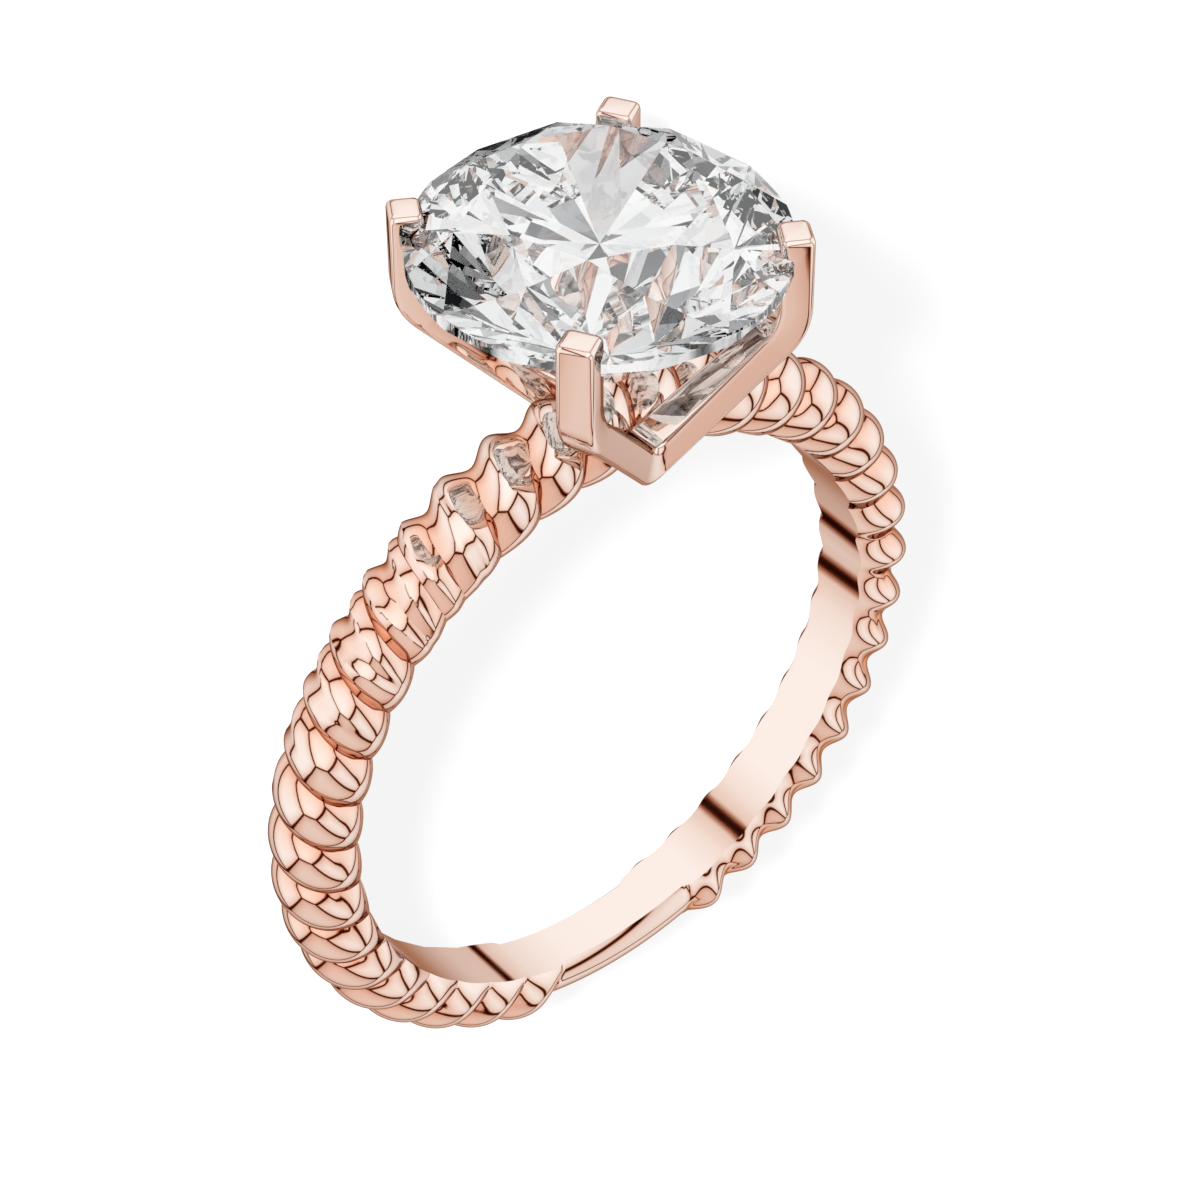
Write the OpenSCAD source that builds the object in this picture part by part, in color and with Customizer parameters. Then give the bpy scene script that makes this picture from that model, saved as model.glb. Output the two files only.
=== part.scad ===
// Twisted shank solitaire ring, lying on its side.
// Everything is drawn upright first, in the ring's own frame: X across the finger hole, Y along
// the finger and Z up through the head, from the centre of the hole. lay() then lays it down.

/* [Finger hole and shank] */
// Inside diameter of the ring
finger_d = 16.85; // [15:0.05:19]
// Thickness of the twisted shank over the finger, at the head
shank_top_t = 2.15; // [1.9:0.05:2.4]
// Thickness of the twisted shank at the bottom
shank_bottom_t = 1.75; // [1.6:0.05:2.1]
// Width of the twisted shank along the finger, at the head
shank_top_w = 2.62; // [2.3:0.02:2.9]
// Width of the twisted shank along the finger, at the bottom
shank_bottom_w = 2.34; // [2.1:0.02:2.6]
// Width of the smooth inner band of the twisted shank
band_w = 1.7; // [1.3:0.05:1.9]

/* [Twist] */
// Lobes that a full turn of the shank would have
lobe_count = 40; // [32:1:48]
// Lean of the lobes: how far each runs round the ring in a full turn round the section
twist_lean = 11; // [5:1:20]
// Depth of the groove between two lobes
groove_depth = 0.33; // [0.15:0.01:0.4]
// Share of the groove's depth that is left at the edge of the inner band, near the head
edge_groove_top = 0.4; // [0:0.05:0.5]
// The same share on the lower half of the shank
edge_groove_bottom = 0.1; // [0:0.05:0.4]

/* [Plain bar] */
// Angle of the shank that is a plain bar, at the bottom
bar_angle = 31.5; // [18:4.5:45]
// Thickness of the plain bar
bar_t = 1.3; // [1.1:0.05:1.4]
// Width of the plain bar along the finger
bar_w = 1.76; // [1.6:0.02:2]
// Width of the flat inner face of the plain bar
bar_band_w = 1.32; // [1.1:0.02:1.5]

/* [Stone] */
// Diameter of the stone
stone_d = 9.38; // [8.6:0.02:9.6]
// Height of the girdle's upper edge over the finger hole's top
stone_lift = 6.58; // [6.4:0.02:7.2]
// Thickness of the girdle where the facets meet on it
girdle_t = 0.4; // [0.3:0.02:0.5]
// Diameter of the table, from corner to corner
table_d = 5.35; // [4.8:0.05:5.8]
// Angle of the crown's main facets
crown_angle = 34.5; // [32:0.5:36]
// Angle of the pavilion's main facets
pavilion_angle = 40.6; // [40:0.1:41.4]
// Gap between the stone and the metal
stone_gap = 0.05; // [0.03:0.01:0.1]

/* [Prongs] */
// Width of a prong, round the stone
prong_w = 0.96; // [0.84:0.02:1.1]
// Thickness of a prong, out from the stone
prong_t = 0.84; // [0.74:0.02:1]
// Metal of a prong that stands outside the girdle
prong_wall = 0.38; // [0.3:0.02:0.5]
// Height of a prong's tip over the girdle's upper edge
prong_over = 0.6; // [0.45:0.05:0.8]
// Bevel round a prong's tip
prong_bevel = 0.15; // [0.05:0.01:0.2]
// Turn of a prong's section from facing the stone, towards the side of the ring
prong_turn = 15; // [0:1:20]
// Rounding of a prong's long edges
prong_round = 0.12; // [0.05:0.01:0.2]
// Drop from the girdle's upper edge to a prong's outer bend
bend_drop = 2.25; // [2:0.05:2.6]
// Length of each side of the rounded bend
bend_side = 0.7; // [0.4:0.05:1]
// Height of the two legs' joint, at the foot of the V
foot_h = 1.42; // [1.2:0.02:1.6]
// Thickness of the V along the finger, at its foot
foot_t = 1.2; // [1.1:0.02:1.4]
// Distance of the foot's outer face from the ring's middle plane
foot_y = 1.96; // [1.8:0.02:2.1]
// Lean of the V's outer face at its foot, outwards over the foot's height
foot_lean = 0.29; // [0:0.01:0.4]

/* [Hidden] */

GOLD = "#E3B59E";
DIAMOND = "#EAF1F4";

hole_r = finger_d / 2;
stone_r = stone_d / 2;
girdle_top = hole_r + stone_lift;
girdle_low = girdle_top - girdle_t;
table_r = table_d / 2;
table_z = girdle_top + (stone_r - table_r) * tan(crown_angle);
culet_z = girdle_low - stone_r * tan(pavilion_angle);

// Twisted shank. A row of the mesh runs round the section and leans with the twist, so that
// each groove and each crest lies along a row. Rows are counted from the top of the ring.
ROWS_PER_LOBE = 4;
ROW_STEPS = 18;
lobe_pitch = 360 / lobe_count;
row_pitch = lobe_pitch / ROWS_PER_LOBE;
row_count = lobe_count * ROWS_PER_LOBE;
// Turn round the ring of the rows, so that the grooves of the left half stand where they do
groove_phase = -0.2;
// The rope has two sets of grooves, half a lobe apart. The right set runs from the plain bar up
// the right half, under the head and down the left half, where it fades. The left set takes over
// there and runs on to the plain bar.
right_slip = lobe_pitch / 2;
// Lobes between the head and the plain bar, on each side
side_lobes = round((360 - bar_angle - right_slip) / 2 / lobe_pitch);
// Angles round the ring between which the left set grows towards the plain bar
LEFT_START = -22;
LEFT_FULL = -46;
// Angles between which the right set fades on the left half, on the outermost line. It fades
// this much further down at the section's +Y side.
RIGHT_FADE = -30;
RIGHT_GONE = -75;
RIGHT_REACH = 18;
// The right set is sharp scallops near the head. On the right half it turns into soft waves
// between these angles, and on the left half it is softer on the outermost line than at -Y.
// The soft waves of the left half lean this much more than the rows.
WAVE_START = 55;
WAVE_END = 95;
SOFT_TURN = 15;
SOFT_AROUND = 70;
SOFT_LEAN = 4;
// The groove fades between these two angles round the section, counted from its outermost line
FADE_START = 85;
FADE_END = 135;
// What is left of it at the inner band's edge changes between these angles from the top
EDGE_START = 60;
EDGE_END = 125;
// The twisted mesh reaches this far into the finger hole, which then cuts it to a true cylinder
BORE_STOCK = 0.1;

function mix(a, b, share) = a + (b - a) * share;
function clamp01(x) = min(max(x, 0), 1);
function soft_step(x) = let (share = clamp01(x)) pow(share, 2) * (3 - 2 * share);
function fraction(x) = x - floor(x);

// Angle from the top, from -180 to 180
function row_angle(row) = fraction((row * row_pitch + 180) / 360) * 360 - 180;

// A lobe is an arc between two sharp grooves, or a wave between two soft ones: its height, as a
// share of the groove's depth, at a share of the way from one groove to the next
lobe_chord = lobe_pitch * PI / 180 * (hole_r + shank_top_t);
lobe_r = (pow(lobe_chord / 2, 2) + pow(groove_depth, 2)) / (2 * groove_depth);
function lobe_height(share) =
    1 - (lobe_r - sqrt(pow(lobe_r, 2) - pow((share - 0.5) * lobe_chord, 2))) / groove_depth;
function wave_height(share) = (1 - cos(360 * share)) / 2;
function left_share(angle) =
    angle > 0 ? 0 : soft_step((angle - LEFT_START) / (LEFT_FULL - LEFT_START));
function right_share(angle, around) =
    angle > 0 ? 1
    : soft_step((angle + RIGHT_REACH * around / 90 - RIGHT_GONE) / (RIGHT_FADE - RIGHT_GONE));
function wave_share(angle, around) =
    angle > 0 ? soft_step((angle - WAVE_START) / (WAVE_END - WAVE_START))
    : soft_step(-angle / SOFT_TURN) * soft_step(around / SOFT_AROUND + 1);
// How far the surface lies under the rope's crests, before it fades at the inner band
function groove_low(angle, around) =
    is_bar(angle) ? 0
    : let (left = lobe_height(fraction(angle / lobe_pitch)),
           right_turn = angle - right_slip,
           soft_turn = right_turn - (angle < 0 ? SOFT_LEAN * around / 360 : 0),
           right = mix(lobe_height(fraction(right_turn / lobe_pitch)),
                       wave_height(soft_turn / lobe_pitch),
                       wave_share(angle, around)))
      groove_depth * max(left_share(angle) * (1 - left),
                         right_share(angle, around) * (1 - right));
function is_bar(angle) =
    angle > right_slip + side_lobes * lobe_pitch + row_pitch / 2
    || angle < -side_lobes * lobe_pitch - row_pitch / 2;

// Thickness, width and inner band of the section at a row
function row_size(angle) =
    is_bar(angle) ? [bar_t, bar_w, bar_band_w]
    : [mix(shank_top_t, shank_bottom_t, (1 - cos(angle)) / 2),
       mix(shank_top_w, shank_bottom_w, (1 - cos(angle)) / 2),
       band_w];

// The section is an ellipse that the finger hole cuts off flat
function flat_cos(size) = sqrt(1 - pow(size[2] / size[1], 2));
function section_a(size) = size[0] / (1 + flat_cos(size));
function edge_share(angle) =
    mix(edge_groove_top, edge_groove_bottom,
        soft_step((abs(angle) - EDGE_START) / (EDGE_END - EDGE_START)));
// A groove that is deeper than this at the inner band would cut through to the finger hole
function edge_limit(size) = 0.97 * (section_a(size) * (1 - flat_cos(size)) - BORE_STOCK);
function sunk(angle, around) =
    let (low = groove_low(angle, around),
         edge_low = min(low * edge_share(angle), edge_limit(row_size(angle))))
    mix(low, edge_low, clamp01((abs(around) - FADE_START) / (FADE_END - FADE_START)));

function section_point(angle, around) =
    let (size = row_size(angle),
         a = section_a(size),
         scale = 1 - sunk(angle, around) / a,
         r = hole_r + a * flat_cos(size) + a * scale * cos(around),
         turn = angle + groove_phase + twist_lean * around / 360)
    [r * sin(turn), size[1] / 2 * scale * sin(around), r * cos(turn)];

// Angle round the section at which a row ends inside the finger hole, on one side
function row_end(angle, side) =
    let (size = row_size(angle), a = section_a(size))
    side * acos(-(a * flat_cos(size) + BORE_STOCK) / (a - sunk(angle, side * FADE_END)));

function row_points(row) =
    let (angle = row_angle(row), start = row_end(angle, -1), end = row_end(angle, 1))
    [for (step = [0:ROW_STEPS]) section_point(angle, mix(start, end, step / ROW_STEPS))];

ROW_LEN = ROW_STEPS + 1;
// Because the rows lean, the two edges of the inner band are this many rows apart
band_edge = acos(-flat_cos(row_size(90)));
lean_rows = round(twist_lean * 2 * band_edge / 360 / row_pitch);
function row_start(row) = ((row % row_count + row_count) % row_count) * ROW_LEN;

module shank() {
    points = [for (row = [0:row_count - 1]) each row_points(row)];
    sides = [for (row = [0:row_count - 1], step = [0:ROW_STEPS - 1])
        let (here = row_start(row) + step, next = row_start(row + 1) + step)
        each [[here, here + 1, next + 1], [here, next + 1, next]]];
    band = [for (row = [0:row_count - 1])
        let (right = row_start(row) + ROW_STEPS, right_next = row_start(row + 1) + ROW_STEPS,
             left = row_start(row + lean_rows), left_next = row_start(row + lean_rows + 1))
        each [[right, left, left_next], [right, left_next, right_next]]];
    polyhedron(points = points, faces = concat(sides, band), convexity = 10);
}

// Prongs. Each runs down from its tip, bends in under the stone and meets its mirror image in a
// V over the finger hole. A station is [centre, out, across]: a corner of the rounded section
// at (o, a) lies at centre + o * out + a * across. This one stands at +X, -Y.
PRONG_PLACE = -45;
prong_facing = PRONG_PLACE + prong_turn;
out_way = [cos(prong_facing), sin(prong_facing), 0];
across_way = [sin(prong_facing), -cos(prong_facing), 0];
prong_out_r = stone_r + prong_wall;
prong_r = prong_out_r - prong_t / 2;
tip_z = girdle_top + prong_over;
bend_z = girdle_top - bend_drop;
// The inner line of the bend is a little higher, so that the prong keeps its thickness
bend_rise = prong_t * 0.39;
foot_z = hole_r;
foot_high_y = foot_y + foot_lean;
foot_station = [
    [0, -(foot_y + foot_high_y) / 2 + foot_t / 2, foot_z + foot_h / 2],
    [0, (foot_high_y - foot_y) / 2, -foot_h / 2],
    [0, -foot_t / 2, 0],
];

function upright_station(z, tilt = 0, inset = 0) = [
    [prong_r * cos(PRONG_PLACE), prong_r * sin(PRONG_PLACE), z],
    out_way * (prong_t / 2 - inset) - [0, 0, tilt / 2],
    across_way * (prong_w / 2 - inset),
];
function mix_station(a, b, share) = [for (i = [0:2]) mix(a[i], b[i], share)];

bend_station = upright_station(bend_z + bend_rise / 2, bend_rise);
leg_length = norm(foot_station[0] - bend_station[0]);
bend_top = upright_station(bend_z + bend_rise / 2 + bend_side, bend_rise * 0.4);
bend_end = mix_station(bend_station, foot_station, bend_side / leg_length);
bend_steps = 4;
// A rounded bend: the point at a share of the way along a curve with its corner at the bend
function bend_at(share) =
    mix_station(mix_station(bend_top, bend_station, share),
                mix_station(bend_station, bend_end, share), share);
prong_stations = [
    upright_station(tip_z, 0, prong_bevel),
    upright_station(tip_z - prong_bevel),
    for (step = [0:bend_steps]) bend_at(step / bend_steps),
    foot_station,
];

// Corners of the section, each cut by three points of the edge's rounding
function section_corners() =
    let (o = 1 - 2 * prong_round / prong_t, a = 1 - 2 * prong_round / prong_w)
    [for (corner = [0:3], turn = [0:2])
        let (angle = corner * 90 + turn * 45,
             side = [[1, 1], [-1, 1], [-1, -1], [1, -1]][corner])
        [side[0] * o + (1 - o) * cos(angle), side[1] * a + (1 - a) * sin(angle)]];

module prong() {
    corners = section_corners();
    count = len(corners);
    rings = len(prong_stations);
    points = [for (s = prong_stations, c = corners) s[0] + c[0] * s[1] + c[1] * s[2]];
    sides = [for (ring = [0:rings - 2], i = [0:count - 1])
        let (j = (i + 1) % count, here = ring * count, next = here + count)
        each [[here + i, next + j, here + j], [here + i, next + i, next + j]]];
    top = [for (i = [0:count - 1]) i];
    bottom = [for (i = [count - 1:-1:0]) (rings - 1) * count + i];
    polyhedron(points = points, faces = concat(sides, [top, bottom]), convexity = 6);
}

module head() {
    for (side = [0, 1], end = [0, 1])
        mirror([side, 0, 0]) mirror([0, end, 0]) prong();
}

// Room for the stone: its own outline turned round its axis, larger by the gap
module stone_seat() {
    rotate_extrude($fn = 96)
        polygon([
            [0, culet_z - stone_gap / cos(pavilion_angle)],
            [stone_r + stone_gap, girdle_low - stone_gap * tan(pavilion_angle / 2)],
            [stone_r + stone_gap, girdle_top + stone_gap * tan(crown_angle / 2)],
            [table_r, table_z + stone_gap / cos(crown_angle)],
            [table_r, table_z + 1],
            [0, table_z + 1],
        ]);
}

module finger_hole() {
    rotate([90, 0, 0])
        cylinder(r = hole_r, h = shank_top_w * 4, center = true, $fn = 180);
}

module ring_metal_upright() {
    difference() {
        union() {
            shank();
            head();
        }
        stone_seat();
        finger_hole();
    }
}

// Stone. A round brilliant with eight main facets above and below. Its flat facets are the hull
// of their corners, which stand a little outside the girdle, and a true cylinder rounds that off.
MAINS = 8;
main_step = 360 / MAINS;
// Share of the way from the table's edge to the girdle that a star facet reaches
STAR_LENGTH = 0.5;
// Share of the way from the girdle to the culet that a lower half facet reaches
LOWER_LENGTH = 0.77;
// The facets run on past the girdle by this, which is less than where crown and pavilion meet
girdle_stock = girdle_t * 0.45;
star_r = mix(table_r * cos(main_step / 2), stone_r, STAR_LENGTH);
star_z = girdle_top + (stone_r - star_r * cos(main_step / 2)) * tan(crown_angle);
lower_r = stone_r * (1 - LOWER_LENGTH);
lower_z = girdle_low - (stone_r - lower_r * cos(main_step / 2)) * tan(pavilion_angle);

function polar(r, angle, z) = [r * cos(angle), r * sin(angle), z];

// Fall, for each millimetre out, of the half facet that leaves corner, along angle 0
function half_fall(corner, girdle_z) =
    let (n = cross(polar(stone_r, 0, girdle_z) - corner,
                   polar(stone_r, main_step / 2, girdle_z) - corner))
    n[0] / n[2];

// The girdle's corners of the crown or of the pavilion, run on past the girdle
function girdle_corners(corner_r, corner_z, girdle_z) =
    let (at_main = girdle_z - girdle_stock
             * half_fall(polar(corner_r, main_step / 2, corner_z), girdle_z),
         between = girdle_z - girdle_stock
             * (corner_z - girdle_z) / (stone_r - corner_r))
    [for (main = [0:MAINS - 1]) each [
        polar(stone_r + girdle_stock, main * main_step, at_main),
        polar(stone_r + girdle_stock, (main + 0.5) * main_step, between)]];

function ring_of(r, turn, z) = [for (main = [0:MAINS - 1]) polar(r, main * main_step + turn, z)];

module stone_upright() {
    corners = concat(
        ring_of(table_r, 0, table_z),
        ring_of(star_r, main_step / 2, star_z),
        girdle_corners(star_r, star_z, girdle_top),
        girdle_corners(lower_r, lower_z, girdle_low),
        ring_of(lower_r, main_step / 2, lower_z),
        [[0, 0, culet_z]]);
    intersection() {
        translate([0, 0, culet_z - 1])
            cylinder(r = stone_r, h = table_z - culet_z + 2, $fn = 96);
        hull()
            polyhedron(points = corners, faces = [[for (i = [0:len(corners) - 1]) i]]);
    }
}

// Resting place. The ring lies on its +Y side: on the girdle's lower edge and on the last lobe at
// each end of the plain bar. The floor leans by lay_angle from the ring's middle plane, and
// turn_angle levels the two lobes, which don't stand at the same distance from the bottom.
side_lean = twist_lean / 4;
last_crest = (side_lobes - 0.5) * lobe_pitch;
right_rest = right_slip + last_crest + groove_phase + side_lean;
left_rest = -last_crest + groove_phase + side_lean;

// Reach of the laid ring's section, at an angle round the ring, towards a direction that leans
// from +Y: lean 0 looks along the finger and 90 towards the bottom of the ring
function reach(angle, size, lean) =
    let (a = section_a(size), r = hole_r + a * flat_cos(size))
    -r * cos(angle) * sin(lean)
    + sqrt(pow(a * cos(angle) * sin(lean), 2) + pow(size[1] / 2 * cos(lean), 2));
function stone_reach(lean) = stone_r * cos(lean) - girdle_low * sin(lean);
function lobes_reach(lean) =
    (reach(right_rest, row_size(right_rest), lean) + reach(left_rest, row_size(left_rest), lean)) / 2;
// Halves the range of leans until the stone and the lobes reach the same plane
function level(low, high, turns = 30) =
    let (middle = (low + high) / 2)
    turns == 0 ? middle
    : stone_reach(middle) > lobes_reach(middle) ? level(middle, high, turns - 1)
    : level(low, middle, turns - 1);

lay_angle = level(0, 30);
lay_height = stone_reach(lay_angle);
turn_angle = asin(
    (reach(right_rest, row_size(right_rest), lay_angle) - reach(left_rest, row_size(left_rest), lay_angle))
    / (hole_r * (sin(right_rest) - sin(left_rest)) * cos(lay_angle)));
// Half of the laid ring's length lies on each side of its middle
front_reach = table_r * sin(lay_angle) + table_z * cos(lay_angle);
back_reach = reach(180, [bar_t, bar_w, bar_band_w], 90 - lay_angle);

module lay() {
    rotate([0, 0, 180])
        translate([0, (back_reach - front_reach) / 2, lay_height])
            rotate([lay_angle - 90, 0, 0])
                rotate([0, 0, -turn_angle])
                    children();
}

module ring_metal() {
    color(GOLD) lay() ring_metal_upright();
}

module stone() {
    color(DIAMOND) lay() stone_upright();
}

ring_metal();
stone();
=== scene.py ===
"""Looks of the twisted shank solitaire ring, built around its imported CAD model.

Every piece is made upright first, in the ring's own frame and in millimetres: X across the finger
hole, Y along the finger and Z up through the head, from the centre of the hole. RestingPlace then
lays it on its side in the frame of the CAD model, in metres.
"""
import logging
import math
from dataclasses import dataclass, field
from enum import Enum
from typing import Any, Iterable, Sequence

import bmesh
import bpy
from mathutils import Matrix, Vector


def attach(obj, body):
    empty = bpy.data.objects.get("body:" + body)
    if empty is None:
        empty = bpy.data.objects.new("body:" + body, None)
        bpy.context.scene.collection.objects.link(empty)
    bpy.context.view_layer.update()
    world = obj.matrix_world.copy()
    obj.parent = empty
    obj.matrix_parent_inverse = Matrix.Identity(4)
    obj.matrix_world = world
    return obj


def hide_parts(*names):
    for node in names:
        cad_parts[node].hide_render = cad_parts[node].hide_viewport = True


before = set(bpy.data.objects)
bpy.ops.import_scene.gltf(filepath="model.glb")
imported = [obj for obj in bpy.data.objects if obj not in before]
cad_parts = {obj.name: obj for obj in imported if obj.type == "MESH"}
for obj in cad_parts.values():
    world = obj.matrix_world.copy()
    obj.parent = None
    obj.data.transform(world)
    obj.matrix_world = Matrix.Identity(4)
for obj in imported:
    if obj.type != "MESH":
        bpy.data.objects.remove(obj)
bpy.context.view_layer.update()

MM = 0.001
IMAGE_PX = 1200
BODY = "root"
HOLE_R = 8.425
STONE_R = 4.69
GIRDLE_TOP = 15.005
SHARP_ANGLE = 30.0
WHITE = (1.0, 1.0, 1.0, 1.0)

log = logging.getLogger("ring")

Point = tuple[float, float, float]
Faces = list[tuple[int, ...]]


def mix(a: float, b: float, share: float) -> float:
    """Return the value that lies at share of the way from a to b."""
    return a + (b - a) * share


def clamp01(x: float) -> float:
    """Return x held between 0 and 1."""
    return min(max(x, 0.0), 1.0)


def smooth_step(x: float) -> float:
    """Return x held between 0 and 1, with a soft start and end."""
    x = clamp01(x)
    return x * x * (3 - 2 * x)


def direction(azimuth: float, elevation: float) -> Point:
    """Return the unit direction at an azimuth from -Y towards +X and an elevation, in degrees."""
    az, el = math.radians(azimuth), math.radians(elevation)
    return (math.cos(el) * math.sin(az), -math.cos(el) * math.cos(az), math.sin(el))


def bent(start: Sequence[Vector], corner: Sequence[Vector], end: Sequence[Vector],
         share: float) -> list[Vector]:
    """Return a station at a share of the bend from one station to another.

    Args:
        start: Centre, half thickness and half width where the bend starts.
        corner: The same at the corner that the bend rounds off.
        end: The same where the bend ends.
        share: How far along the bend the station lies, from 0 to 1.

    Returns:
        The station's three vectors.
    """
    return [a.lerp(b, share).lerp(b.lerp(c, share), share)
            for a, b, c in zip(start, corner, end)]


def hex_colour(code: str) -> tuple[float, float, float, float]:
    """Turn an sRGB hex colour into the linear colour that a shader takes.

    Args:
        code: The colour as six hex digits after a hash.

    Returns:
        The linear red, green and blue, and an alpha of 1.
    """
    parts = [int(code[i:i + 2], 16) / 255 for i in (1, 3, 5)]
    linear = [c / 12.92 if c <= 0.04045 else ((c + 0.055) / 1.055) ** 2.4 for c in parts]
    return (linear[0], linear[1], linear[2], 1.0)


def add_node(tree: bpy.types.NodeTree, kind: str, inputs: dict[Any, Any] | None = None,
             **settings: Any) -> bpy.types.Node:
    """Add a node to a tree, with its settings and its inputs.

    Args:
        tree: The tree of a material or a world.
        kind: The node's type.
        inputs: For each input socket a value, or the output socket that feeds it.
        settings: The node's own properties.

    Returns:
        The new node.
    """
    made = tree.nodes.new(kind)
    for name, value in settings.items():
        setattr(made, name, value)
    for name, value in (inputs or {}).items():
        if isinstance(value, bpy.types.NodeSocket):
            tree.links.new(value, made.inputs[name])
        else:
            made.inputs[name].default_value = value
    return made


def math_node(tree: bpy.types.NodeTree, operation: str, a: Any, b: Any) -> bpy.types.NodeSocket:
    """Add a math node for two values or sockets, and return its output."""
    return add_node(tree, "ShaderNodeMath", {0: a, 1: b}, operation=operation).outputs[0]


def empty_material(name: str) -> bpy.types.Material:
    """Return a new material with no nodes in it."""
    material = bpy.data.materials.new(name)
    material.use_nodes = True
    material.node_tree.nodes.clear()
    return material


class Slot(Enum):
    """The record's material slots."""

    ROSE_GOLD = "rose_gold"
    DIAMOND = "diamond"


@dataclass(frozen=True)
class PolishedRoseGold:
    """Fourteen carat rose gold, cast and then polished to a mirror.

    To the eye it is a pale copper mirror: nearly white where it shows the lamps, dark brown where
    it shows the gaps between them, and orange deep in the grooves. There it mirrors itself, and a
    painted reflection, an orange mixed into the base colour by groove depth, deepens that.
    """

    colour: str = "#F2E4DC"
    edge_colour: str = "#A5745B"
    # Painted reflection: the orange that the base colour turns towards deep in the grooves, and
    # how much of it
    painted_groove_reflection: str = "#F2AE88"
    painted_reflection_share: float = 0.65
    roughness: float = 0.035
    roughness_swing: float = 0.03
    cloud_mm: float = 0.9
    cloud_low: float = 0.3
    cloud_high: float = 0.7
    buff_mm: float = 0.035
    buff_height_mm: float = 0.00012

    def build(self) -> bpy.types.Material:
        """Return the material, which reads the attribute hollow of the metal's meshes to place its
        painted groove reflection.
        """
        material = empty_material("polished_rose_gold")
        tree = material.node_tree
        place = add_node(tree, "ShaderNodeTexCoord").outputs["Object"]
        hollow = add_node(tree, "ShaderNodeAttribute", attribute_name="hollow").outputs["Fac"]
        # Painted reflection: deep in the grooves the base colour runs towards an orange that
        # stands in for the metal mirroring itself
        painted_reflection_tint = add_node(tree, "ShaderNodeMix",
                        {"Factor": math_node(tree, "MULTIPLY", hollow, self.painted_reflection_share),
                         "A": hex_colour(self.colour), "B": hex_colour(self.painted_groove_reflection)},
                        data_type="RGBA")
        # Faint clouds in the polish, about as wide as a polishing felt's marks
        clouds = add_node(tree, "ShaderNodeTexNoise",
                          {"Vector": place, "Scale": 1 / (self.cloud_mm * MM), "Detail": 2.0})
        rough = add_node(tree, "ShaderNodeMapRange",
                         {"Value": clouds.outputs["Fac"],
                          "From Min": self.cloud_low, "From Max": self.cloud_high,
                          "To Min": self.roughness - self.roughness_swing / 2,
                          "To Max": self.roughness + self.roughness_swing / 2})
        # Buffing lines, drawn wider than the real ones so that they show at all
        buffing = add_node(tree, "ShaderNodeTexNoise",
                           {"Vector": place, "Scale": 1 / (self.buff_mm * MM), "Detail": 1.0})
        relief = add_node(tree, "ShaderNodeBump",
                          {"Height": buffing.outputs["Fac"],
                           "Distance": self.buff_height_mm * MM})
        shader = add_node(tree, "ShaderNodeBsdfPrincipled",
                          {"Base Color": painted_reflection_tint.outputs["Result"], "Metallic": 1.0,
                           "Specular Tint": hex_colour(self.edge_colour),
                           "Roughness": rough.outputs["Result"],
                           "Normal": relief.outputs["Normal"]})
        add_node(tree, "ShaderNodeOutputMaterial", {"Surface": shader.outputs["BSDF"]})
        return material


@dataclass(frozen=True)
class CutDiamond:
    """Colourless diamond with polished facets.

    To the eye it is a broken-up mirror: every facet throws back another bit of the room, so white,
    grey and black lie side by side in sharp splinters.
    """

    colour: str = "#FFFFFF"
    index: float = 2.417
    roughness: float = 0.0

    def build(self) -> bpy.types.Material:
        """Return the material of the facets."""
        material = empty_material("cut_diamond")
        tree = material.node_tree
        shader = add_node(tree, "ShaderNodeBsdfPrincipled",
                          {"Base Color": hex_colour(self.colour), "Metallic": 0.0,
                           "Roughness": self.roughness, "IOR": self.index,
                           "Transmission Weight": 1.0})
        add_node(tree, "ShaderNodeOutputMaterial", {"Surface": shader.outputs["BSDF"]})
        return material


@dataclass(frozen=True)
class MattePaper:
    """White paper that the ring lies on. To the eye it is plain white, with the shadow alone."""

    colour: str = "#F6F6F6"
    roughness: float = 0.85
    specular_level: float = 0.2
    fibre_mm: float = 0.4
    fibre_height_mm: float = 0.004

    def build(self) -> bpy.types.Material:
        """Return the material of the floor."""
        material = empty_material("matte_white_paper")
        tree = material.node_tree
        place = add_node(tree, "ShaderNodeTexCoord").outputs["Object"]
        fibres = add_node(tree, "ShaderNodeTexNoise",
                          {"Vector": place, "Scale": 1 / (self.fibre_mm * MM), "Detail": 3.0})
        relief = add_node(tree, "ShaderNodeBump",
                          {"Height": fibres.outputs["Fac"],
                           "Distance": self.fibre_height_mm * MM})
        shader = add_node(tree, "ShaderNodeBsdfPrincipled",
                          {"Base Color": hex_colour(self.colour),
                           "Roughness": self.roughness,
                           "Specular IOR Level": self.specular_level,
                           "Normal": relief.outputs["Normal"]})
        add_node(tree, "ShaderNodeOutputMaterial", {"Surface": shader.outputs["BSDF"]})
        return material


@dataclass(frozen=True)
class Section:
    """Thickness, width and inner band of the shank at one place, in millimetres."""

    thickness: float
    width: float
    band: float

    @property
    def flat_cos(self) -> float:
        """Cosine at which the finger hole cuts the section's ellipse off."""
        return math.sqrt(1 - (self.band / self.width) ** 2)

    @property
    def half(self) -> float:
        """Half axis of the section's ellipse, out from the finger."""
        return self.thickness / (1 + self.flat_cos)


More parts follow.
